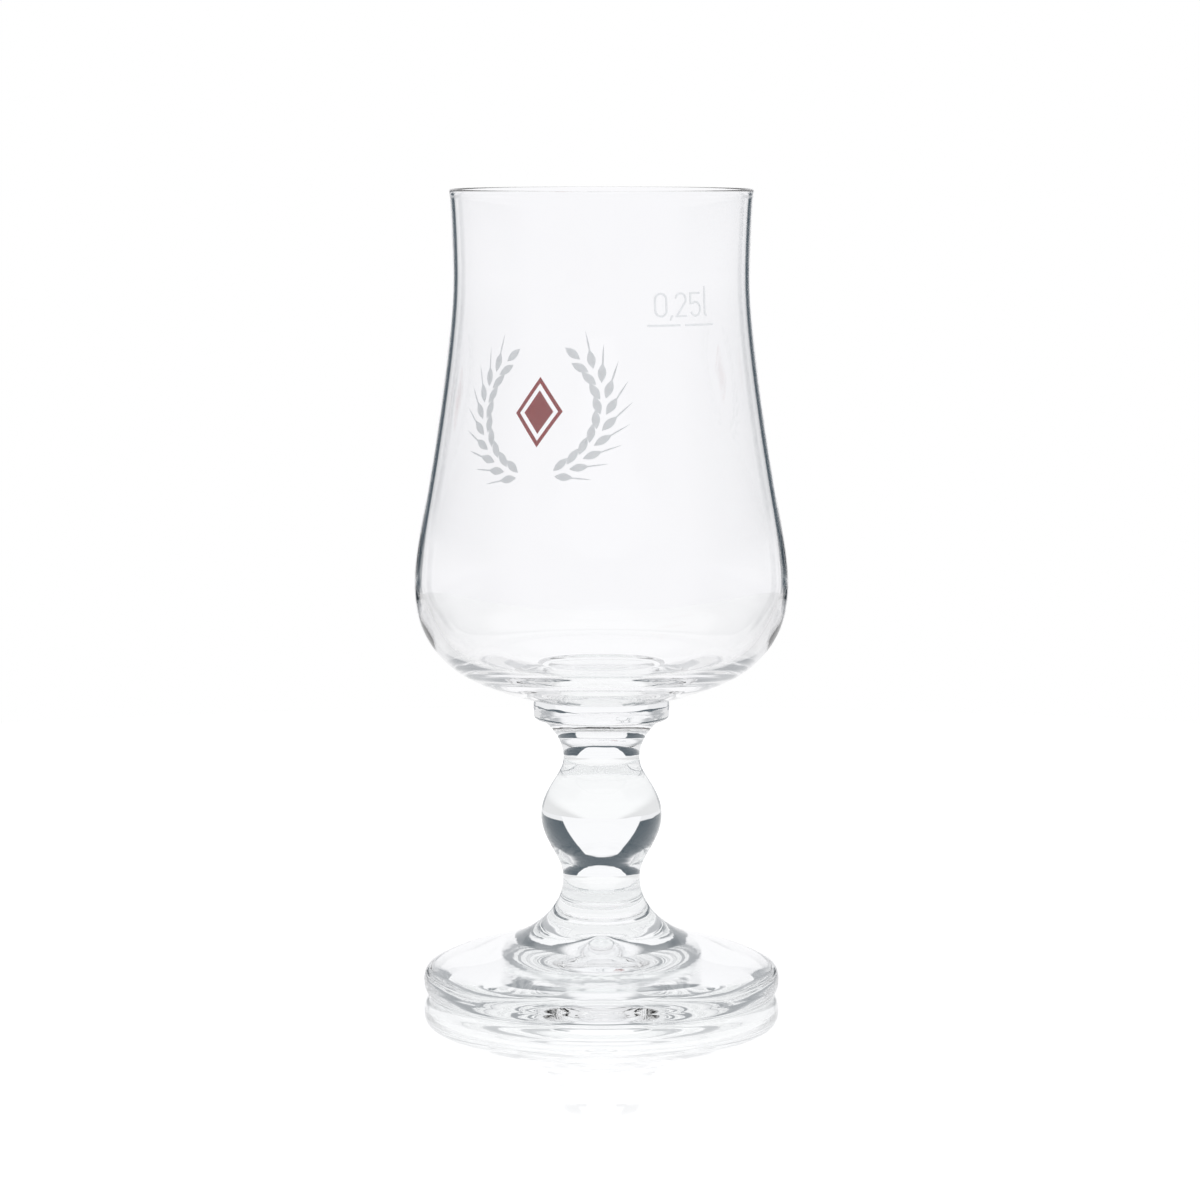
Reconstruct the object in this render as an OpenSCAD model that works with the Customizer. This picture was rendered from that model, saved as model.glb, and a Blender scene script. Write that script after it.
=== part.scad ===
// Stemmed pilsner glass: blown bowl, collar, stem with a ball knop, and a flared foot, with fired prints.
// Millimetres. The origin is the centre of the circle that the foot stands on, and +Z points up.

/* [Bowl] */
// Height of the bowl, from the collar to the lip
bowl_h = 104.5; // [90:0.5:130]
// Outer diameter at the lip
lip_d = 62; // [56:0.5:70]
// Outer diameter at the narrowest place, under the lip
waist_d = 60.6; // [54:0.1:68]
// How far the narrowest place is below the lip
waist_drop = 18; // [12:0.5:26]
// Outer diameter where the side is steepest
flank_d = 72.9; // [68:0.1:75]
// Height of that place above the collar
flank_rise = 38.6; // [32:0.1:48]
// Lean of the side at that place, in degrees
flank_lean = 10.3; // [6:0.1:14]
// Largest outer diameter
belly_d = 76.7; // [75.5:0.1:84]
// Height of the largest diameter above the collar
belly_rise = 23.7; // [20:0.1:28]
// How far the turn from the underside into the side is inside the largest radius
shoulder_in = 6.6; // [5:0.1:9]
// Height of that turn above the collar
shoulder_rise = 7.6; // [6:0.1:10]

/* [Glass thickness] */
// Wall at the lip
lip_wall = 0.9; // [0.7:0.05:2]
// Wall at the narrowest place
waist_wall = 1; // [0.7:0.05:2.2]
// Wall where the side is steepest
flank_wall = 1.1; // [0.7:0.05:2.4]
// Wall at the largest diameter
belly_wall = 1.4; // [0.8:0.05:2.8]
// Glass under the middle of the bowl's inside
floor_t = 4.8; // [3:0.1:7]
// Rise of the bowl's floor from its middle to its edge
floor_lift = 2.2; // [1:0.1:3.5]
// How far the edge of that floor is inside the largest radius
floor_in = 15; // [13:0.1:20]

/* [Collar and stem] */
// Diameter of the collar under the bowl
collar_d = 27.9; // [26:0.1:34]
// Height of the collar
collar_h = 4.2; // [3:0.1:6]
// Rounding of the collar's lower edge
collar_round = 1; // [0.4:0.1:1.4]
// Height of the stem, from the foot to the collar
stem_h = 33.1; // [30:0.1:50]
// Diameter of the stem where it meets the collar
stem_top_d = 24.4; // [20:0.1:25]
// Diameter of the neck above the ball
upper_neck_d = 15.7; // [12:0.1:18]
// Height of that neck above the foot
upper_neck_rise = 25.2; // [23:0.1:28]
// Diameter of the ball
knop_d = 24.9; // [20:0.1:32]
// Height of the ball's middle above the foot
knop_rise = 13.2; // [11:0.1:15]
// Diameter of the neck below the ball, where the stem meets the foot
lower_neck_d = 15.9; // [12:0.1:18]

/* [Foot] */
// Height of the foot, up to the stem
foot_h = 24.2; // [20:0.1:30]
// Largest diameter of the foot
foot_d = 73.3; // [72:0.1:86]
// Height of the foot's widest place
edge_rise = 2.7; // [2:0.1:3.4]
// Diameter where the top turns down into the edge
brow_d = 70.2; // [66:0.1:71]
// Height of that turn
brow_rise = 6.3; // [5:0.1:8]
// Diameter where the flare of the stem has become the top of the foot
flare_d = 39.6; // [34:0.1:46]
// Height of that place
flare_rise = 11.45; // [10:0.05:14]
// Outer diameter of the ring that the foot stands on
rest_d = 70.4; // [66:0.1:71.5]
// Width of that ring
rest_w = 2.6; // [1.5:0.1:5]
// Height of the hollow under the foot, round the rise in its middle
hollow_h = 4.2; // [3.4:0.1:6.4]
// Diameter of that rise
kick_d = 25.8; // [18:0.1:30]
// Height of the hollow at the top of that rise
kick_h = 7.5; // [6.6:0.1:9]

/* [Prints] */
// Thickness of the fired enamel
print_t = 0.1; // [0.05:0.01:0.3]
// How far the filling line is below the lip
fill_drop = 26.5; // [20:0.1:40]
// Place of the volume mark round the bowl, in degrees from the front
mark_turn = 31.6; // [0:0.1:60]
// Length of the filling line
fill_length = 15.4; // [10:0.1:20]
// Gap in the filling line
fill_gap = 1.1; // [0.5:0.1:3]
// Thickness of the filling line
fill_line_w = 0.4; // [0.2:0.05:0.8]
// Space between the filling line and the numerals
numeral_gap = 1.6; // [0.8:0.1:3]
// Height of the numerals
numeral_h = 4.9; // [3:0.1:7]
// Stroke of the numerals
numeral_stroke = 0.4; // [0.2:0.05:0.6]
// Place of the decoration round the bowl, in degrees from the front
wreath_turn = 204; // [150:1:230]
// How far the middle of the decoration is below the lip
wreath_drop = 47.5; // [44:0.1:52]
// Radius of the arc that the barley ears follow
wreath_r = 14; // [11:0.1:15]
// Length of a barley grain
grain_l = 4.2; // [3:0.1:5]
// Width of a barley grain
grain_w = 1.7; // [1:0.1:2.2]
// Length of a barley beard
awn_l = 6.4; // [4:0.1:7]
// Width of a barley beard
awn_w = 0.35; // [0.2:0.05:0.6]
// Number of rows of grains on each ear
grain_rows = 9; // [5:1:11]
// Height of the lozenge
lozenge_h = 15; // [10:0.1:17]
// Width of the lozenge
lozenge_w = 11; // [8:0.1:13]
// Width of the lozenge's outline
lozenge_line = 0.8; // [0.4:0.1:1.4]
// Space between the lozenge and its outline
lozenge_gap = 0.9; // [0.5:0.1:1.5]

/* [Hidden] */
$fn = 96;

stem_z = foot_h;
collar_z = stem_z + stem_h;
bowl_z = collar_z + collar_h;
lip_z = bowl_z + bowl_h;
steps = 8;
glass = [0.86, 0.91, 0.92, 0.4];
grey_enamel = [0.72, 0.74, 0.76];
red_enamel = [0.6, 0.1, 0.1];

// A smooth outline is a chain of stations. Each is [radius, height, heading in degrees], and the curve
// passes through the place with that heading. Its two handles there are shares of the distance to the
// stations before and after it: [back, on].
function place(s) = [s[0], s[1]];
function heading(s) = [cos(s[2]), sin(s[2])];
function span(a, b, on, back) =
    let (reach = norm(place(b) - place(a)),
         p = place(a) + heading(a) * on * reach,
         q = place(b) - heading(b) * back * reach)
    [for (i = [0 : steps]) let (t = i / steps)
        place(a) * pow(1 - t, 3) + 3 * p * t * pow(1 - t, 2) + 3 * q * t * t * (1 - t) + place(b) * pow(t, 3)];
function chain(stations, shares) =
    [for (k = [0 : len(stations) - 2])
        let (points = span(stations[k], stations[k + 1], shares[k][1], shares[k + 1][0]))
        for (i = [(k == 0 ? 0 : 1) : steps]) points[i]];
function reversed(list) = [for (i = [len(list) - 1 : -1 : 0]) list[i]];

up = 90;
level_in = 180;

// Foot
brow_slope = 28;
flare_slope = 17;
hollow_slope = 16.9;
kick_slope = 3;
foot_shares = [[0, 0.3], [0.29, 0.08], [0.56, 0.39], [0.51, 0.43], [0.31, 0]];
foot_outline = chain([
    [rest_d / 2, 0, 0],
    [foot_d / 2, edge_rise, up],
    [brow_d / 2, brow_rise, level_in - brow_slope],
    [flare_d / 2, flare_rise, level_in - flare_slope],
    [lower_neck_d / 2, foot_h, up]], foot_shares);
hollow_shares = [[0, 0.5], [0.41, 0.85], [0.2, 0]];
hollow_outline = chain([
    [rest_d / 2 - rest_w, 0, level_in - hollow_slope],
    [kick_d / 2, hollow_h, level_in - kick_slope],
    [0, kick_h, level_in]], hollow_shares);

module foot() {
    color(glass)
        rotate_extrude()
            polygon(concat(foot_outline, [[0, foot_h]], reversed(hollow_outline)));
}

// Stem
low_heading = 61;
high_heading = 123;
top_heading = 40;
low_rise_share = 0.335;
low_swell_share = 0.257;
high_rise_share = 0.645;
high_swell_share = 0.637;
stem_shares = [[0, 0.4], [0.3, 0.36], [0.34, 0.36], [0.34, 0.3], [0.4, 0.4], [0.25, 0]];
stem_outline = chain([
    [lower_neck_d / 2, 0, up],
    [lower_neck_d / 2 + (knop_d - lower_neck_d) / 2 * low_swell_share, knop_rise * low_rise_share, low_heading],
    [knop_d / 2, knop_rise, up],
    [knop_d / 2 - (knop_d - upper_neck_d) / 2 * high_swell_share,
        knop_rise + (upper_neck_rise - knop_rise) * high_rise_share, high_heading],
    [upper_neck_d / 2, upper_neck_rise, up],
    [stem_top_d / 2, stem_h, top_heading]], stem_shares);

module stem_knop() {
    color(glass)
        translate([0, 0, stem_z])
            rotate_extrude()
                polygon(concat([[0, 0]], stem_outline, [[0, stem_h]]));
}

// Collar
module stem_collar() {
    color(glass)
        translate([0, 0, collar_z])
            rotate_extrude()
                polygon(concat(
                    [[0, 0]],
                    [for (a = [-90 : 15 : 0])
                        [collar_d / 2 - collar_round + collar_round * cos(a), collar_round + collar_round * sin(a)]],
                    [[collar_d / 2, collar_h], [0, collar_h]]));
}

// Bowl
joint_slope = 13;
shoulder_slope = 44;
lip_lean = 7;
lip_round = lip_wall / 2;
outside_shares = [[0, 0.26], [0.29, 0.3], [0.46, 0.31], [0.41, 0.32], [0.22, 0.34], [0.17, 0]];
bowl_outside = chain([
    [collar_d / 2, 0, joint_slope],
    [belly_d / 2 - shoulder_in, shoulder_rise, shoulder_slope],
    [belly_d / 2, belly_rise, up],
    [flank_d / 2, flank_rise, up + flank_lean],
    [waist_d / 2, bowl_h - waist_drop, up],
    [lip_d / 2, bowl_h - lip_round, up - lip_lean]], outside_shares);
inside_shares = [[0, 0.41], [0.37, 0.37], [0.35, 0.31], [0.41, 0.32], [0.22, 0.34], [0.17, 0]];
bowl_inside = chain([
    [0, floor_t, 0],
    [belly_d / 2 - floor_in, floor_t + floor_lift, 0],
    [belly_d / 2 - belly_wall, belly_rise, up],
    [flank_d / 2 - flank_wall, flank_rise, up + flank_lean],
    [waist_d / 2 - waist_wall, bowl_h - waist_drop, up],
    [lip_d / 2 - lip_wall, bowl_h - lip_round, up - lip_lean]], inside_shares);
lip_arc = [for (a = [20 : 20 : 160])
    [lip_d / 2 - lip_round + lip_round * cos(a), bowl_h - lip_round + lip_round * sin(a)]];

module bowl() {
    color(glass)
        translate([0, 0, bowl_z])
            rotate_extrude()
                polygon(concat([[0, 0]], bowl_outside, lip_arc, reversed(bowl_inside)));
}

// Prints: flat shapes, wrapped on the outside of the bowl above its largest diameter
enamel_inner = [for (p = bowl_outside) if (p[1] >= belly_rise) p];
enamel_outer = [for (p = enamel_inner) p + [print_t, 0]];

module wrapped(turn, height) {
    intersection() {
        translate([0, 0, bowl_z])
            rotate_extrude()
                polygon(concat(enamel_outer, reversed(enamel_inner)));
        rotate([0, 0, turn])
            translate([0, 0, height])
                rotate([90, 0, 0])
                    linear_extrude(belly_d)
                        children();
    }
}

fill_z = lip_z - fill_drop;

module fill_line() {
    color(grey_enamel)
        wrapped(mark_turn, fill_z)
            for (side = [-1, 1])
                translate([side * (fill_length + fill_gap) / 4, 0])
                    square([(fill_length - fill_gap) / 2, fill_line_w], center = true);
}

// A stroke of even width along a path, with its corners mitred
function unit(v) = v / norm(v);
function bend(path, i) =
    let (last = len(path) - 1,
         a = unit(path[max(i, 1)] - path[max(i, 1) - 1]),
         b = unit(path[min(i, last - 1) + 1] - path[min(i, last - 1)]),
         m = unit(a + b))
    [-m[1], m[0]] / (m * a);
function ribbon(path, w) = concat(
    [for (i = [0 : len(path) - 1]) path[i] + bend(path, i) * w / 2],
    [for (i = [len(path) - 1 : -1 : 0]) path[i] - bend(path, i) * w / 2]);
function arc(c, rx, ry, a, b, n) = [for (i = [0 : n]) let (t = a + (b - a) * i / n) c + [rx * cos(t), ry * sin(t)]];

digit_w_share = 0.57;
letter_rise_share = 0.22;
digit_gap_share = 1.9;
comma_gap_share = 4.1;
comma_drop_share = 1.6;
foot_turn_share = 1.5;
five_top_share = 0.9;
five_belly_share = 0.32;
digit_w = numeral_h * digit_w_share;
digit_r = (digit_w - numeral_stroke) / 2;
digit_gap = numeral_stroke * digit_gap_share;
comma_gap = numeral_stroke * comma_gap_share;
comma_drop = numeral_stroke * comma_drop_share;
mid_x = digit_w / 2;
base_y = numeral_stroke / 2;
top_y = numeral_h - base_y;

function stadium(w, h) = concat(
    arc([mid_x, (numeral_h + h - w) / 2], w / 2, w / 2, 0, 180, 12),
    arc([mid_x, (numeral_h - h + w) / 2], w / 2, w / 2, 180, 360, 12));

module zero() {
    difference() {
        polygon(stadium(digit_w, numeral_h));
        polygon(stadium(digit_w - 2 * numeral_stroke, numeral_h - 2 * numeral_stroke));
    }
}

module comma() {
    polygon([[0, numeral_stroke], [-numeral_stroke, -comma_drop], [0, -comma_drop],
             [numeral_stroke, numeral_stroke]]);
}

two_start = 170;
two_end = -28;
module two() {
    polygon(ribbon(concat(
        arc([mid_x, top_y - digit_r], digit_r, digit_r, two_start, two_end, 14),
        [[numeral_stroke, base_y], [digit_w, base_y]]), numeral_stroke));
}

five_start = 125;
five_end = -155;
module five() {
    belly_ry = numeral_h * five_belly_share - base_y;
    bend_y = base_y + belly_ry;
    polygon(ribbon(concat(
        [[digit_w * five_top_share, top_y], [base_y, top_y], [base_y, bend_y + belly_ry * sin(five_start)]],
        arc([mid_x, bend_y], digit_r, belly_ry, five_start, five_end, 18)), numeral_stroke));
}

module litre() {
    turn_r = numeral_stroke * foot_turn_share;
    polygon(ribbon(concat(
        [[base_y, numeral_h * (1 + letter_rise_share)]],
        arc([base_y + turn_r, base_y + turn_r], turn_r, turn_r, 180, 260, 6)), numeral_stroke));
}

two_x = digit_w + comma_gap;
five_x = two_x + digit_w + digit_gap;
litre_x = five_x + digit_w + digit_gap;
numerals_w = litre_x + numeral_stroke * 2;

module numerals() {
    zero();
    translate([digit_w + comma_gap / 2, 0]) comma();
    translate([two_x, 0]) two();
    translate([five_x, 0]) five();
    translate([litre_x, 0]) litre();
}

module volume_numerals() {
    color(grey_enamel)
        wrapped(mark_turn, fill_z + numeral_gap)
            translate([-numerals_w / 2, 0])
                numerals();
}

// A pointed leaf that starts at the origin and points along +Y
module leaf(l, w) {
    side = [for (i = [0 : 8]) let (t = i / 8) [w / 2 * sin(180 * t), l * t]];
    polygon(concat(side, [for (i = [7 : -1 : 1]) [-side[i][0], side[i][1]]]));
}

ear_start = -72;
ear_end = 52;
grain_tilt = 24;

// One ear follows an arc on the right, from the bottom upwards
module barley_ear() {
    pitch_angle = (ear_end - ear_start) / grain_rows;
    for (k = [0 : grain_rows - 1]) {
        a = ear_start + pitch_angle * k;
        rotate([0, 0, a])
            translate([wreath_r, 0]) {
                for (side = [-1, 1])
                    translate([side * grain_w / 3, 0])
                        rotate([0, 0, -side * grain_tilt])
                            leaf(grain_l, grain_w);
                rotate([0, 0, -grain_tilt])
                    translate([grain_w / 3, grain_l / 2])
                        leaf(awn_l, awn_w);
            }
    }
    rotate([0, 0, ear_end])
        translate([wreath_r, 0])
            leaf(grain_l, grain_w);
}

module wreath_print() {
    color(grey_enamel)
        wrapped(wreath_turn, lip_z - wreath_drop) {
            barley_ear();
            mirror([1, 0]) barley_ear();
        }
}

module diamond(size) {
    polygon([[size[0] / 2, 0], [0, size[1] / 2], [-size[0] / 2, 0], [0, -size[1] / 2]]);
}

// The size of a diamond whose sides lie d inside those of another
function within(size, d) = size - 2 * d * norm(size) * [1 / size[1], 1 / size[0]];

module lozenge_print() {
    size = [lozenge_w, lozenge_h];
    color(red_enamel)
        wrapped(wreath_turn, lip_z - wreath_drop) {
            difference() {
                diamond(size);
                diamond(within(size, lozenge_line));
            }
            diamond(within(size, lozenge_line + lozenge_gap));
        }
}

foot();
stem_knop();
stem_collar();
bowl();
fill_line();
volume_numerals();
wreath_print();
lozenge_print();
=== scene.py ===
"""Stemmed pilsner glass, dressed around its CAD frame: clear glass pieces turned from the frame's own
outlines, fired prints, and the white tabletop studio that it stands in. Units are metres, +Z up, the front
is -Y."""

import functools
import math

import bmesh
import bpy
from bpy.props import FloatProperty, FloatVectorProperty, IntProperty, PointerProperty
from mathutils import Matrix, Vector
from mathutils.geometry import interpolate_bezier


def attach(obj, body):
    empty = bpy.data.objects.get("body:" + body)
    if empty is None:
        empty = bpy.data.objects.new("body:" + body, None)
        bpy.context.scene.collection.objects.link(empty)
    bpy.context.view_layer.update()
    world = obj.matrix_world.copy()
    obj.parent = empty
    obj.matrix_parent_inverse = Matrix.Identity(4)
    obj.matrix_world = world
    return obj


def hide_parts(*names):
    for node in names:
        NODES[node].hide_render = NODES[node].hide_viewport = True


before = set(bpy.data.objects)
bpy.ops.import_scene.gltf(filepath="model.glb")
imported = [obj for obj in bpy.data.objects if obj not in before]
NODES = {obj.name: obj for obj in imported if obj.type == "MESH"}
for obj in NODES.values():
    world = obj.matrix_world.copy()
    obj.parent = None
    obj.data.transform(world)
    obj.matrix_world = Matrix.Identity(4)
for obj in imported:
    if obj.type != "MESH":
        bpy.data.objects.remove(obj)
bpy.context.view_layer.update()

bl_info = {
    "name": "Pilsner glass",
    "version": (1, 0, 0),
    "blender": (4, 5, 0),
    "location": "3D View > Sidebar > Glass",
    "description": "Builds a stemmed pilsner glass and the white tabletop that it stands on",
    "category": "Add Mesh",
}

TABLE_LEVEL = 0.0
SAME_PLACE = 1e-6
WHITE = (1, 1, 1, 1)

# Limits that tell a straight run, a flat face and a sharp edge
STRAIGHT = math.radians(0.03)
FLAT = 0.999
SHARP = math.radians(30)

# Ripples left by blowing or pressing: how fine they are, and their height
BOWL_RIPPLES = {"scale": 60, "height": 0.000006}
STEM_RIPPLES = {"scale": 120, "height": 0.00006}
FOOT_RIPPLES = {"scale": 90, "height": 0.00002}
RIPPLE_STRETCH = (1, 1, 3)

# Belt of finer ripples on the foot, round the stem: the radii where it is off and full, and its share of the
# slow ripples' height
FOOT_BELT = {"inner": (0.013, 0.016), "outer": (0.025, 0.021), "scale": 700, "share": 0.35}

# What is left of a lamp's light behind the glass
SHADOW_TINT = (0.9, 0.92, 0.925, 1)

# Enamels: surface, unevenness of cover, and the wreath's painted glow, an emission that stands in for light
# coming through it from behind
ENAMEL_ROUGHNESS = 0.5
ENAMEL_GLOSS = 0.2
ENAMEL_GRAIN = 1800
ENAMEL_SHADES = (0.88, 1.1)
WREATH_PAINTED_GLOW = 0.14


class GlassSettings(bpy.types.PropertyGroup):
    """How finely the glass is turned, and what it is made of"""

    turns: IntProperty(name="Steps round", description="Steps of each turned piece round its axis",
                       default=192, min=24, max=256)
    between: IntProperty(name="Steps along",
                         description="Points of the smooth outline for each point of the frame's",
                         default=4, min=1, max=8)
    bowl_tint: FloatVectorProperty(name="Bowl tint", description="Colour of the thin blown glass",
                                   subtype="COLOR", size=4, default=(0.99, 0.992, 0.995, 1), min=0, max=1)
    foot_tint: FloatVectorProperty(name="Foot tint", description="Colour of the thick pressed glass",
                                   subtype="COLOR", size=4, default=(0.975, 0.988, 0.988, 1), min=0, max=1)
    density: FloatProperty(name="Refraction", description="Index of refraction of soda-lime glass",
                           default=1.52, min=1.3, max=1.8)


class PrintSettings(bpy.types.PropertyGroup):
    """Colours of the fired enamels"""

    mark_grey: FloatVectorProperty(name="Mark grey", description="Enamel of the filling line and numerals",
                                   subtype="COLOR", size=4, default=(0.86, 0.88, 0.89, 1), min=0, max=1)
    wreath_grey: FloatVectorProperty(name="Wreath grey", description="Enamel of the barley wreath",
                                     subtype="COLOR", size=4, default=(0.95, 0.97, 0.99, 1), min=0, max=1)
    lozenge_red: FloatVectorProperty(name="Lozenge red", description="Enamel of the lozenge",
                                     subtype="COLOR", size=4, default=(0.47, 0.0, 0.0, 1), min=0, max=1)


class StudioSettings(bpy.types.PropertyGroup):
    """Camera, table, top light and room"""

    camera_distance: FloatProperty(name="Camera distance", description="From the glass's axis to the camera",
                                   subtype="DISTANCE", unit="LENGTH", default=0.9124)
    camera_height: FloatProperty(name="Camera height", description="Height of the camera above the table",
                                 subtype="DISTANCE", unit="LENGTH", default=0.1805)
    camera_pitch: FloatProperty(name="Camera pitch", description="How far the camera looks down",
                                subtype="ANGLE", unit="ROTATION", default=math.radians(6.169))
    camera_side: FloatProperty(name="Camera side step",
                               description="How far the camera stands left of the axis",
                               subtype="DISTANCE", unit="LENGTH", default=0.0003)
    camera_lens: FloatProperty(name="Camera lens", description="Focal length in millimetres",
                               unit="CAMERA", default=134.03)
    sensor_width: FloatProperty(name="Sensor width", description="Width of the sensor in millimetres",
                                unit="CAMERA", default=36)
    table_radius: FloatProperty(name="Table radius", description="Radius of the glossy table top",
                                subtype="DISTANCE", unit="LENGTH", default=0.45)
    table_gap: FloatProperty(name="Table gap", description="Air between the foot and the table",
                             subtype="DISTANCE", unit="LENGTH", default=0.0001)
    lamp_size: FloatProperty(name="Top light size", description="Diameter of the soft light above the glass",
                             subtype="DISTANCE", unit="LENGTH", default=0.9)
    lamp_height: FloatProperty(name="Top light height", description="Height of the light above the table",
                               subtype="DISTANCE", unit="LENGTH", default=1.2)
    lamp_power: FloatProperty(name="Top light power", description="Power of the light", unit="POWER",
                              default=3.0)
    bounces: IntProperty(name="Bounces", description="How often light may bounce: the thick glass needs many",
                         default=32, min=8, max=64)
    slate: FloatVectorProperty(name="Room", description="Colour of the dark room round the panel",
                               subtype="COLOR", size=4, default=(0.036, 0.062, 0.082, 1), min=0, max=1)
    pale: FloatVectorProperty(name="Panel", description="Colour of the panel and walls as glass shows them",
                              subtype="COLOR", size=4, default=(0.99, 0.985, 1, 1), min=0, max=1)


# Outlines

@functools.cache
def seam_points(node):
    """The points of a turned CAD node along its seam, on the +X side of the plane y = 0, in order."""
    solid = bmesh.new()
    solid.from_mesh(NODES[node].data)
    bmesh.ops.remove_doubles(solid, verts=solid.verts, dist=SAME_PLACE)
    seam = {vert for vert in solid.verts if abs(vert.co.y) < SAME_PLACE and vert.co.x > -SAME_PLACE}

    def following(vert, before):
        others = [edge.other_vert(vert) for edge in vert.link_edges]
        return [other for other in others if other in seam and other is not before]

    ends = [vert for vert in seam if len(following(vert, None)) == 1]
    chain, before = [min(ends, key=lambda vert: (vert.co.z, vert.co.x))], None
    while following(chain[-1], before):
        chain.append(following(chain[-1], before)[0])
        before = chain[-2]
    points = [Vector((vert.co.x, vert.co.z)) for vert in chain]
    solid.free()
    return points


def bend(before, here, after):
    """How far a path turns at the point here, in radians."""
    return (here - before).angle(after - here, 0)


def without_midpoints(points):
    """The points where the path bends: tessellation adds others on its straight runs."""
    triples = zip(points, points[1:], points[2:])
    inner = [here for before, here, after in triples if bend(before, here, after) > STRAIGHT]
    return [points[0], *inner, points[-1]]


def on_table(point):
    """Whether a point of an outline touches the table."""
    return point.y < TABLE_LEVEL + SAME_PLACE


def heading(points, i):
    """Heading of the smooth curve at point i: straight out from the axis or in to it where it meets it, and
    elsewhere that of the parabola through the point and its neighbours. None at the open ends and on the
    table, which stay corners."""
    here = points[i]
    if here.x < SAME_PLACE:
        return Vector((1 if i == 0 else -1, 0))
    if i in (0, len(points) - 1) or on_table(here):
        return None
    back, on = here - points[i - 1], points[i + 1] - here
    return (back / back.length * on.length + on / on.length * back.length).normalized()


def smooth_outline(points, between):
    """A smooth path through the points, with that many steps between two of them. What lies on the table
    stays flat."""
    path = [points[0]]
    for i, (start, end) in enumerate(zip(points, points[1:])):
        step = end - start
        straight = step.normalized()
        leave = heading(points, i) or straight
        arrive = heading(points, i + 1) or straight
        if on_table(start) and on_table(end):
            leave = arrive = straight
        handle = step.length / 3
        curve = interpolate_bezier(start, start + leave * handle, end - arrive * handle, end, between + 1)
        path.extend(curve[1:])
    return path


def top_rim(node):
    """Height and radius of the flat top of a CAD node."""
    rim = max(seam_points(node), key=lambda point: point.y)
    return rim.y, rim.x


def joint_levels():
    """Height and radius of the three flat faces where glass is fused to glass, read from the frame."""
    return {"neck": top_rim("foot"), "stem_top": top_rim("stem_knop"), "collar_top": top_rim("stem_collar")}


# Turned glass

def closing_disc(rim, joints):
    """Points from an open rim straight in to the axis, with one at the edge of a narrower joint."""
    edges = [Vector((radius, rim.y)) for height, radius in joints
             if abs(height - rim.y) < SAME_PLACE and radius < rim.x - SAME_PLACE]
    return [*edges, Vector((0, rim.y))]


def spun(path, turns):
    """The closed surface that a path from axis to axis sweeps in a full turn."""
    shape = bmesh.new()
    verts = [shape.verts.new((point.x, 0, point.y)) for point in path]
    edges = [shape.edges.new(pair) for pair in zip(verts, verts[1:])]
    bmesh.ops.spin(shape, geom=verts + edges, cent=(0, 0, 0), axis=(0, 0, 1), angle=math.tau, steps=turns,
                   use_merge=True)
    bmesh.ops.remove_doubles(shape, verts=shape.verts, dist=SAME_PLACE)
    bmesh.ops.recalc_face_normals(shape, faces=shape.faces)
    return shape


def in_joint(face, joints):
    """Whether a face is flat and lies inside a joint."""
    middle = face.calc_center_median()
    inside = [radius for height, radius in joints
              if abs(height - middle.z) < SAME_PLACE and math.hypot(middle.x, middle.y) < radius]
    return bool(inside) and abs(face.normal.z) > FLAT


def turned(name, outline, joints, materials):
    """A closed solid of revolution. joints are (height, radius) of the flat faces where it is fused to
    another, which get the second material."""
    path = list(outline)
    if path[0].x > SAME_PLACE:
        path = closing_disc(path[0], joints)[::-1] + path
    if path[-1].x > SAME_PLACE:
        path = path + closing_disc(path[-1], joints)
    shape = spun(path, bpy.context.scene.glass.turns)
    for face in shape.faces:
        face.smooth = True
        face.material_index = int(in_joint(face, joints))
    for edge in shape.edges:
        if len(edge.link_faces) == 2 and edge.calc_face_angle(0) > SHARP:
            edge.smooth = False
    mesh = bpy.data.meshes.new(name)
    shape.to_mesh(mesh)
    shape.free()
    piece = bpy.data.objects.new(name, mesh)
    bpy.context.scene.collection.objects.link(piece)
    for material in materials:
        mesh.materials.append(material)
    return piece


def turned_from(node, name, joints, material):
    """A glass piece turned from the outline of its CAD node, which it stands for."""
    outline = smooth_outline(without_midpoints(seam_points(node)), bpy.context.scene.glass.between)
    piece = turned(name, outline, joints, [material, joint_material()])
    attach(piece, "root")
    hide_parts(node)
    return piece


# Node helpers, whose values are numbers, colours or sockets

def feed(tree, socket, value):
    """Links a socket to another one, or gives it a number or colour."""
    if isinstance(value, bpy.types.NodeSocket):
        tree.links.new(value, socket)
    else:
        socket.default_value = value


def new_node(tree, kind, values):
    """A node with some of its inputs filled in by name."""
    node = tree.nodes.new(kind)
    for name, value in values.items():
        feed(tree, node.inputs[name], value)
    return node


def new_material(name):
    """An empty node material and its tree."""
    material = bpy.data.materials.new(name)
    material.use_nodes = True
    material.node_tree.nodes.clear()
    return material, material.node_tree


def maths(tree, operation, *values):
    """The result of a Math node."""
    node = tree.nodes.new("ShaderNodeMath")
    node.operation = operation
    for socket, value in zip(node.inputs, values):
        feed(tree, socket, value)
    return node.outputs[0]


def product(tree, *factors):
    """All the factors multiplied."""
    return functools.reduce(functools.partial(maths, tree, "MULTIPLY"), factors)


def less(tree, mask, share=1):
    """1 where mask is 0, and less by share where mask is 1."""
    return maths(tree, "MULTIPLY_ADD", mask, -share, 1)


def more(tree, mask, share, base):
    """base where mask is 0, and more by share where mask is 1."""
    return maths(tree, "MULTIPLY_ADD", mask, share, base)


def mixed(tree, mask, first, second):
    """first where mask is 0 and second where it is 1."""
    return maths(tree, "MULTIPLY_ADD", mask, maths(tree, "SUBTRACT", second, first), first)


def soft_step(tree, value, off, full):
    """0 where value is at off and 1 where it is at full, with a smooth change between."""
    node = new_node(tree, "ShaderNodeMapRange", {"Value": value, "From Min": off, "From Max": full})
    node.interpolation_type = "SMOOTHSTEP"
    return node.outputs[0]


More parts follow.
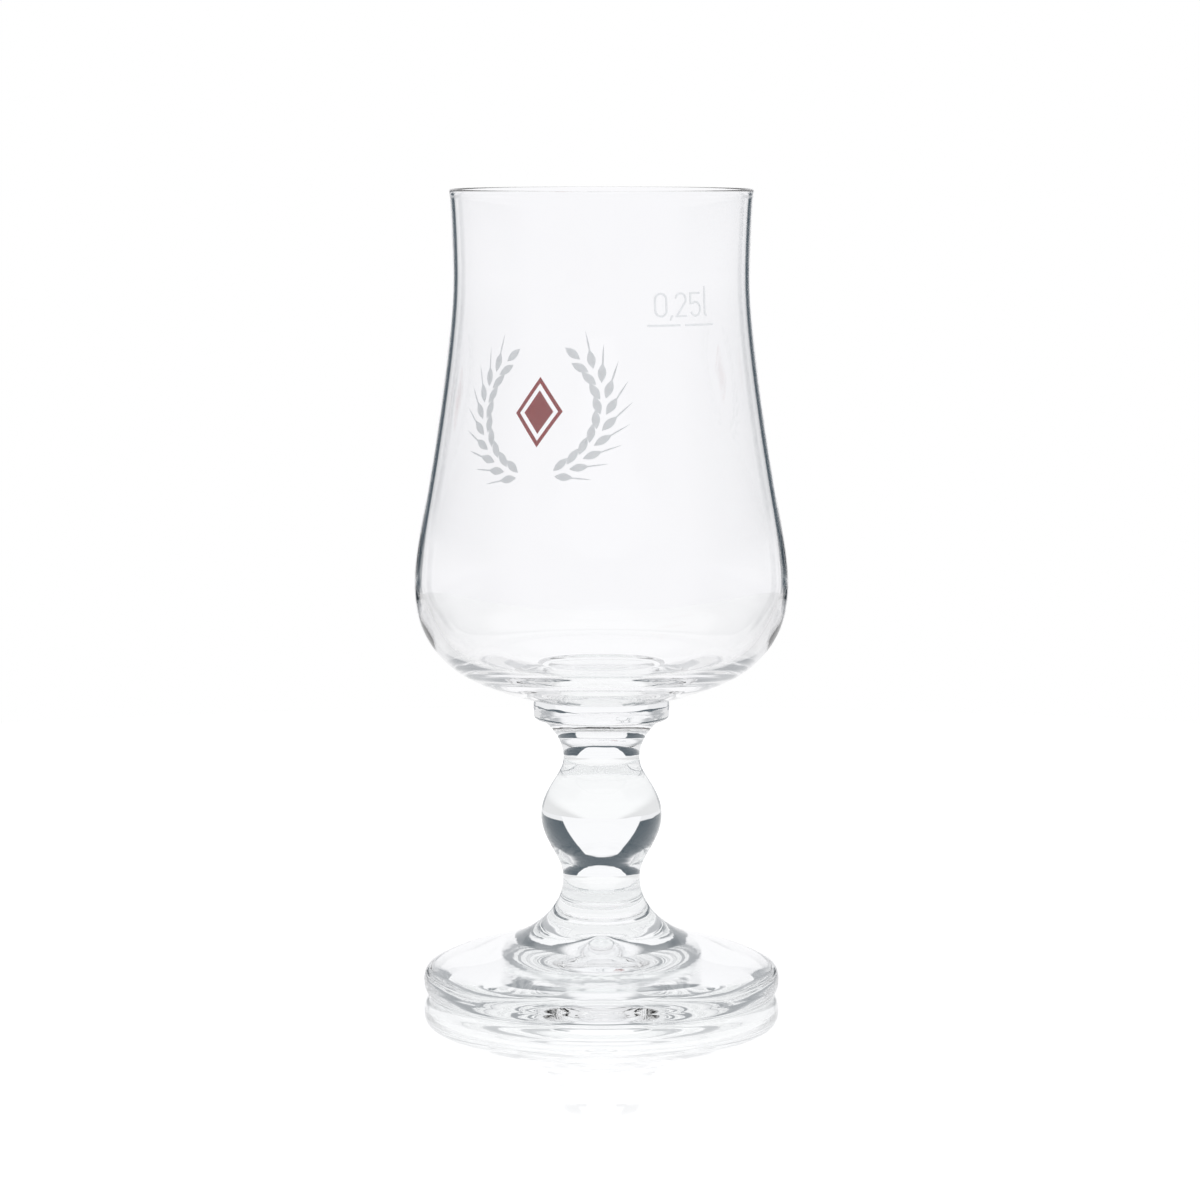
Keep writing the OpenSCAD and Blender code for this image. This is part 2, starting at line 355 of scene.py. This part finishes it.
def components(tree, vector):
    """The x, y and z of a vector."""
    return new_node(tree, "ShaderNodeSeparateXYZ", {"Vector": vector}).outputs


def from_axis(tree, place):
    """How far a place is from the z axis."""
    x, y, _ = components(tree, place)
    return maths(tree, "SQRT", maths(tree, "ADD", maths(tree, "POWER", x, 2), maths(tree, "POWER", y, 2)))


def noise(tree, place, scale, detail=2):
    """The grey value of a Noise Texture."""
    texture = new_node(tree, "ShaderNodeTexNoise", {"Vector": place, "Scale": scale, "Detail": detail})
    return texture.outputs["Fac"]


def mixed_colour(tree, mask, first, second):
    """The colour first where mask is 0 and second where it is 1."""
    node = tree.nodes.new("ShaderNodeMix")
    node.data_type = "RGBA"
    for socket, value in zip((node.inputs[0], node.inputs[6], node.inputs[7]), (mask, first, second)):
        feed(tree, socket, value)
    return node.outputs[2]


def combined(tree, kind, *values):
    """The output of a shader node that joins others. Its inputs are filled in order."""
    node = tree.nodes.new(kind)
    for socket, value in zip(node.inputs, values):
        feed(tree, socket, value)
    return node.outputs[0]


def object_place(tree):
    """Object coordinates."""
    return tree.nodes.new("ShaderNodeTexCoord").outputs["Object"]


# Materials

def joint_material():
    """The inside of a fused joint, where light passes straight on."""
    found = bpy.data.materials.get("fused_joint")
    if found:
        return found
    material, tree = new_material("fused_joint")
    clear = tree.nodes.new("ShaderNodeBsdfTransparent")
    new_node(tree, "ShaderNodeOutputMaterial", {"Surface": clear.outputs[0]})
    return material


def with_belt(tree, place, slow, belt):
    """The height of the slow ripples, with a belt of finer ones added round the axis."""
    radius = from_axis(tree, place)
    mask = product(tree, soft_step(tree, radius, *belt["inner"]), soft_step(tree, radius, *belt["outer"]))
    fine = noise(tree, place, belt["scale"], detail=1)
    return more(tree, product(tree, fine, mask), belt["share"], slow)


def glass_material(name, tint, ripples, belt=None):
    """Clear glass with slow ripples, which run round it, and perhaps a belt of finer ones. Rays from lamps
    pass it with little loss."""
    material, tree = new_material(name)
    place = object_place(tree)
    stretch = new_node(tree, "ShaderNodeMapping", {"Vector": place, "Scale": RIPPLE_STRETCH})
    height = noise(tree, stretch.outputs["Vector"], ripples["scale"])
    if belt:
        height = with_belt(tree, place, height, belt)
    bump = new_node(tree, "ShaderNodeBump", {"Strength": 1, "Distance": ripples["height"], "Height": height})
    glass = new_node(tree, "ShaderNodeBsdfPrincipled", {
        "Base Color": tint, "Roughness": 0, "IOR": bpy.context.scene.glass.density,
        "Transmission Weight": 1, "Normal": bump.outputs["Normal"]})
    passing = new_node(tree, "ShaderNodeBsdfTransparent", {"Color": SHADOW_TINT})
    path = tree.nodes.new("ShaderNodeLightPath")
    surface = combined(tree, "ShaderNodeMixShader", path.outputs["Is Shadow Ray"], glass.outputs[0],
                       passing.outputs[0])
    new_node(tree, "ShaderNodeOutputMaterial", {"Surface": surface})
    return material


def shade(colour, share):
    """A colour made darker or lighter by a factor."""
    return [min(1, part * share) for part in colour[:3]] + [1]


def enamel_material(name, colour, painted_glow=0):
    """Fired screen-printed enamel: slightly glossy, with a faint unevenness of cover. The last argument is
    the
    strength of a painted glow: emission in the enamel's own colour that stands in for light coming through
    the thin layer from behind."""
    material, tree = new_material(name)
    dark, light = (shade(colour, share) for share in ENAMEL_SHADES)
    cover = mixed_colour(tree, noise(tree, object_place(tree), ENAMEL_GRAIN), dark, light)
    # The emission is painted light: a glow that stands in for light shining through the enamel from behind
    enamel = new_node(tree, "ShaderNodeBsdfPrincipled", {
        "Base Color": cover, "Roughness": ENAMEL_ROUGHNESS, "Specular IOR Level": ENAMEL_GLOSS,
        "Emission Color": colour, "Emission Strength": painted_glow})
    new_node(tree, "ShaderNodeOutputMaterial", {"Surface": enamel.outputs[0]})
    return material


# Pieces

class GLASS_OT_bowl(bpy.types.Operator):
    """Turns the thin blown bowl"""

    bl_idname = "glass.bowl"
    bl_label = "Bowl"

    def execute(self, context):
        levels = joint_levels()
        material = glass_material("bowl_glass_clear", context.scene.glass.bowl_tint, BOWL_RIPPLES)
        turned_from("bowl", "bowl_blown", [levels["collar_top"]], material)
        return {"FINISHED"}


class GLASS_OT_stem(bpy.types.Operator):
    """Turns the collar, and the stem with its ball"""

    bl_idname = "glass.stem"
    bl_label = "Collar and stem"

    def execute(self, context):
        levels = joint_levels()
        material = glass_material("stem_glass_clear", context.scene.glass.foot_tint, STEM_RIPPLES)
        turned_from("stem_collar", "collar_turned", [levels["stem_top"], levels["collar_top"]],
                    material)
        turned_from("stem_knop", "stem_turned", [levels["neck"], levels["stem_top"]], material)
        return {"FINISHED"}


class GLASS_OT_foot(bpy.types.Operator):
    """Turns the pressed foot with the hollow under it"""

    bl_idname = "glass.foot"
    bl_label = "Foot"

    def execute(self, context):
        levels = joint_levels()
        tint = context.scene.glass.foot_tint
        material = glass_material("foot_glass_clear", tint, FOOT_RIPPLES, FOOT_BELT)
        turned_from("foot", "foot_pressed", [levels["neck"]], material)
        return {"FINISHED"}


class GLASS_OT_prints(bpy.types.Operator):
    """Gives the four prints their enamels"""

    bl_idname = "glass.prints"
    bl_label = "Prints"

    def execute(self, context):
        colours = context.scene.prints
        mark = enamel_material("mark_enamel_fired", colours.mark_grey)
        # The wreath gets a painted glow in place of light coming through it from behind
        wreath = enamel_material("wreath_enamel_fired", colours.wreath_grey, WREATH_PAINTED_GLOW)
        lozenge = enamel_material("lozenge_enamel_fired", colours.lozenge_red)
        enamels = {"fill_line": mark, "volume_numerals": mark,
                   "wreath_print": wreath, "lozenge_print": lozenge}
        for node, enamel in enamels.items():
            NODES[node].data.materials.clear()
            NODES[node].data.materials.append(enamel)
        return {"FINISHED"}


# World round the studio

# Angles are in degrees: aside is measured from straight behind the glass, and rise from the horizon. A pair
# holds the angle where a thing is off and the one where it is full.
RADIAN = math.degrees(1)

# Bright panel behind the glass
PANEL_HALF_WIDTH = 29
PANEL_TAPER = 0.55
PANEL_EDGE = (-0.7, 0.7)
PANEL_TOP = (27, 25.5)

# Dark cards at both sides of the panel
CARD_INNER_SIDE = (13.5, 16)
CARD_OUTER_SIDE = (31, 28)
CARD_TOP = (8, 1)
CARD_BOTTOM = (-14, -7)
CARD_DARKNESS = 0.96
CARD_SHARE_PER_BOUNCE = 0.5

# Dark room beside and above the panel
ROOM_SIDE = (130, 90)
ROOM_TOP = (44, 32)
ROOM_BOTTOM = (-1.2, -0.2)
ROOM_BOTTOM_MIRRORED = (-6, 6)
ROOM_LATE_LOSS = 0.35

# The room as light meets it that was last mirrored or scattered
FAINT_DARKNESS = 0.15
FAINT_SIDE = (80, 35)
FAINT_BOTTOM = (-14, 16)

# Paler upper part of the room for mirrored light
UPPER_SIDE = (75, 55)
UPPER_BOTTOM = (12, 18)
UPPER_LOSS = 0.25

# Walls and ceiling beyond the room
WALL_BRIGHTNESS = 0.88
CEILING_EDGE = (35, 50)
CEILING_GAIN = 0.12
FRONT_SIDE = (90, 110)
FRONT_LOSS = 0.06

# Ray depths just above the first bounce and just above the fourth
AFTER_FIRST = 1.5
AFTER_FOURTH = 4.5


def ray_angles(tree):
    """Where a ray goes: how far aside from straight behind the glass, and how far above the horizon."""
    ray = tree.nodes.new("ShaderNodeTexCoord")
    east, north, height = components(tree, ray.outputs["Generated"])
    aside = maths(tree, "ABSOLUTE", product(tree, maths(tree, "ARCTAN2", east, north), RADIAN))
    return aside, product(tree, maths(tree, "ARCSINE", height), RADIAN)


def mirrored(tree, path):
    """1 for light that has been mirrored at least once, else 0."""
    return maths(tree, "MINIMUM", path.outputs["Glossy Depth"], 1)


def bright_panel(tree, aside, rise):
    """1 on the panel behind the glass, which is narrower towards its top, and 0 round it."""
    half_width = maths(tree, "MULTIPLY_ADD", rise, -PANEL_TAPER, PANEL_HALF_WIDTH)
    inside = maths(tree, "SUBTRACT", half_width, aside)
    return product(tree, soft_step(tree, rise, *PANEL_TOP), soft_step(tree, inside, *PANEL_EDGE))


def dark_cards(tree, aside, rise, path):
    """How dark the cards at both sides of the panel are. Only mirrored light meets them, and at half their
    darkness after its first bounce."""
    width = product(tree, soft_step(tree, aside, *CARD_INNER_SIDE),
                    soft_step(tree, aside, *CARD_OUTER_SIDE))
    height = product(tree, soft_step(tree, rise, *CARD_TOP), soft_step(tree, rise, *CARD_BOTTOM))
    depth = maths(tree, "MINIMUM", product(tree, path.outputs["Ray Depth"], CARD_SHARE_PER_BOUNCE), 1)
    return product(tree, width, height, mirrored(tree, path), depth, CARD_DARKNESS)


def dark_room(tree, aside, rise, path):
    """How dark the room beside and above the panel is. Light that has just come through glass meets the whole
    room, somewhat paler after many bounces, and other light meets a faint one. Mirrored light meets a softer
    lower edge and a paler upper part."""
    through = path.outputs["Is Transmission Ray"]
    late = maths(tree, "GREATER_THAN", path.outputs["Ray Depth"], AFTER_FOURTH)
    top = soft_step(tree, rise, *ROOM_TOP)
    bottom = mixed(tree, mirrored(tree, path), soft_step(tree, rise, *ROOM_BOTTOM),
                   soft_step(tree, rise, *ROOM_BOTTOM_MIRRORED))
    whole = product(tree, soft_step(tree, aside, *ROOM_SIDE), top, bottom, through,
                    less(tree, late, ROOM_LATE_LOSS))
    faint = product(tree, soft_step(tree, aside, *FAINT_SIDE), top, soft_step(tree, rise, *FAINT_BOTTOM),
                    less(tree, through), FAINT_DARKNESS)
    upper = product(tree, mirrored(tree, path), soft_step(tree, rise, *UPPER_BOTTOM),
                    soft_step(tree, aside, *UPPER_SIDE))
    return product(tree, maths(tree, "ADD", whole, faint), less(tree, upper, UPPER_LOSS))


def pale_walls(tree, aside, rise, path):
    """Brightness of the walls beyond the room, and of the ceiling, which is brighter. The walls in front of
    the glass are a little darker, except for scattered light."""
    upwards = more(tree, soft_step(tree, rise, *CEILING_EDGE), CEILING_GAIN, WALL_BRIGHTNESS)
    front = product(tree, soft_step(tree, aside, *FRONT_SIDE), less(tree, path.outputs["Is Diffuse Ray"]))
    return product(tree, upwards, less(tree, front, FRONT_LOSS))


def studio_world(slate, pale):
    """White behind the glass for the camera, and where the glass's outer face or the table mirrors the panel
    to it. Other light meets the pale panel behind the glass, the dark cards and room round the panel, and the
    pale walls beyond."""
    world = bpy.data.worlds.new("studio")
    world.use_nodes = True
    tree = world.node_tree
    tree.nodes.clear()
    aside, rise = ray_angles(tree)
    path = tree.nodes.new("ShaderNodeLightPath")
    panel = bright_panel(tree, aside, rise)
    cards = dark_cards(tree, aside, rise, path)
    room = dark_room(tree, aside, rise, path)
    beyond = product(tree, pale_walls(tree, aside, rise, path), less(tree, room))
    lit = product(tree, less(tree, cards), maths(tree, "MAXIMUM", panel, beyond))
    direct = product(tree, maths(tree, "LESS_THAN", path.outputs["Ray Depth"], AFTER_FIRST), panel)
    white = maths(tree, "MAXIMUM", path.outputs["Is Camera Ray"], direct)
    shown = mixed_colour(tree, white, mixed_colour(tree, lit, slate, pale), WHITE)
    background = new_node(tree, "ShaderNodeBackground", {"Color": shown})
    new_node(tree, "ShaderNodeOutputWorld", {"Surface": background.outputs[0]})
    return world


# The stage round the glass

TABLE_CORNERS = 96
TABLE_REFRACTION = 1.5
TABLE_MATT = (0.35, 0.35, 0.35, 1)
MIRROR_FADE = (0.16, 0.035)
MIRROR_SHARE = 2.2
MIRROR_ROUGHNESS = 0.02
GLOW = 0.62
GLOW_FOR_CAMERA = 0.2
GLOW_SIDE = (0.06, 0.12)
GLOW_SIDE_LOSS = 0.35


def table_material():
    """A white glossy table, whose mirror image fades away from the glass. It glows, and more for the camera.
    In the glass its sides glow less."""
    material, tree = new_material("white_table")
    place = object_place(tree)
    seen = tree.nodes.new("ShaderNodeLightPath").outputs["Is Camera Ray"]
    fresnel = new_node(tree, "ShaderNodeFresnel", {"IOR": TABLE_REFRACTION})
    mirroring = product(tree, fresnel.outputs[0], soft_step(tree, from_axis(tree, place), *MIRROR_FADE),
                        MIRROR_SHARE)
    sideways = maths(tree, "ABSOLUTE", components(tree, place)[0])
    side = product(tree, soft_step(tree, sideways, *GLOW_SIDE), less(tree, seen))
    strength = product(tree, more(tree, seen, GLOW_FOR_CAMERA, GLOW), less(tree, side, GLOW_SIDE_LOSS))
    matt = new_node(tree, "ShaderNodeBsdfDiffuse", {"Color": TABLE_MATT})
    glow = new_node(tree, "ShaderNodeEmission", {"Strength": strength})
    gloss = new_node(tree, "ShaderNodeBsdfGlossy", {"Color": WHITE, "Roughness": MIRROR_ROUGHNESS})
    white = combined(tree, "ShaderNodeAddShader", matt.outputs[0], glow.outputs[0])
    surface = combined(tree, "ShaderNodeMixShader", mirroring, white, gloss.outputs[0])
    new_node(tree, "ShaderNodeOutputMaterial", {"Surface": surface})
    return material


def place_camera(scene):
    """Stands the camera in front of the glass, looking a little down."""
    studio = scene.studio
    lens = bpy.data.cameras.new("camera")
    lens.sensor_width = studio.sensor_width
    lens.lens = studio.camera_lens
    camera = bpy.data.objects.new("camera", lens)
    camera.location = (-studio.camera_side, -studio.camera_distance, studio.camera_height)
    camera.rotation_euler = (math.pi / 2 - studio.camera_pitch, 0, 0)
    scene.collection.objects.link(camera)
    scene.camera = camera


def set_table(scene):
    """Lays the round table top under the foot."""
    top = bmesh.new()
    bmesh.ops.create_circle(top, cap_ends=True, radius=scene.studio.table_radius, segments=TABLE_CORNERS)
    mesh = bpy.data.meshes.new("table_top")
    top.to_mesh(mesh)
    top.free()
    mesh.materials.append(table_material())
    table = bpy.data.objects.new("table_top", mesh)
    table.location = (0, 0, -scene.studio.table_gap)
    scene.collection.objects.link(table)


def hang_top_light(scene):
    """Hangs a soft round light over the glass, which neither mirrors nor refracts it."""
    studio = scene.studio
    lamp = bpy.data.lights.new("top_light", "AREA")
    lamp.shape = "DISK"
    lamp.size = studio.lamp_size
    lamp.energy = studio.lamp_power
    light = bpy.data.objects.new("top_light", lamp)
    light.location = (0, 0, studio.lamp_height)
    light.visible_glossy = False
    light.visible_transmission = False
    scene.collection.objects.link(light)


class GLASS_OT_studio(bpy.types.Operator):
    """Sets the camera, the world round the glass, the table and the soft top light"""

    bl_idname = "glass.studio"
    bl_label = "Studio"

    def execute(self, context):
        scene = context.scene
        scene.view_settings.view_transform = "Standard"
        scene.world = studio_world(scene.studio.slate, scene.studio.pale)
        scene.cycles.max_bounces = scene.studio.bounces
        scene.cycles.transmission_bounces = scene.studio.bounces
        scene.cycles.glossy_bounces = scene.studio.bounces
        place_camera(scene)
        set_table(scene)
        hang_top_light(scene)
        return {"FINISHED"}


class GLASS_PT_panel(bpy.types.Panel):
    """Lists the steps in the sidebar"""

    bl_idname = "GLASS_PT_panel"
    bl_label = "Pilsner glass"
    bl_space_type = "VIEW_3D"
    bl_region_type = "UI"
    bl_category = "Glass"

    def draw(self, context):
        for step in STEPS:
            self.layout.operator(step.bl_idname)


STEPS = (GLASS_OT_bowl, GLASS_OT_stem, GLASS_OT_foot, GLASS_OT_prints, GLASS_OT_studio)
SETTINGS = {"glass": GlassSettings, "prints": PrintSettings, "studio": StudioSettings}


def register():
    """Registers the settings, the steps and the panel."""
    for settings in SETTINGS.values():
        bpy.utils.register_class(settings)
    for name, settings in SETTINGS.items():
        setattr(bpy.types.Scene, name, PointerProperty(type=settings))
    for step in (*STEPS, GLASS_PT_panel):
        bpy.utils.register_class(step)


def unregister():
    """Takes them all out again."""
    for step in (GLASS_PT_panel, *reversed(STEPS)):
        bpy.utils.unregister_class(step)
    for name in SETTINGS:
        delattr(bpy.types.Scene, name)
    for settings in reversed(list(SETTINGS.values())):
        bpy.utils.unregister_class(settings)


def main():
    """Builds the glass and its stage."""
    register()
    for step in STEPS:
        group, action = step.bl_idname.split(".")
        getattr(getattr(bpy.ops, group), action)()


if __name__ == "__main__":
    main()
